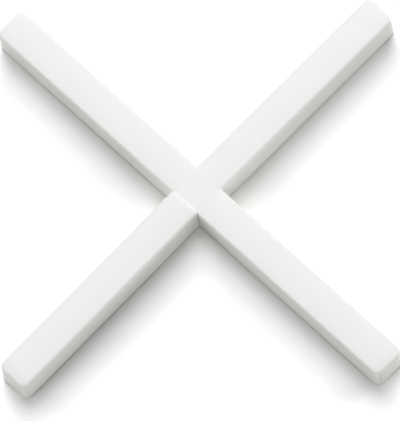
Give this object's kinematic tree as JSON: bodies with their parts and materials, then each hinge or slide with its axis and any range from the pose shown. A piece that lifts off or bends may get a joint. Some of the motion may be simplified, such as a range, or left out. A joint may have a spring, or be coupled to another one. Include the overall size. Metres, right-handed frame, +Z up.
{
  "type": "tile spacer",
  "caption": "Flat cross-shaped spacer in white plastic that holds the corners of floor or wall tiles an even joint width apart.",
  "frame": {"origin": "middle of the flat underside, where the two bars cross", "axes": "+Z up from the underside to the flat top; one bar lies along X and the other along Y"},
  "size_m": [0.0288, 0.0288, 0.0019],
  "materials": {
    "white_plastic": "satin, slightly translucent moulded plastic"
  },
  "bodies": {
    "root": {"spacer_cross": "white_plastic"}
  },
  "joints": []
}
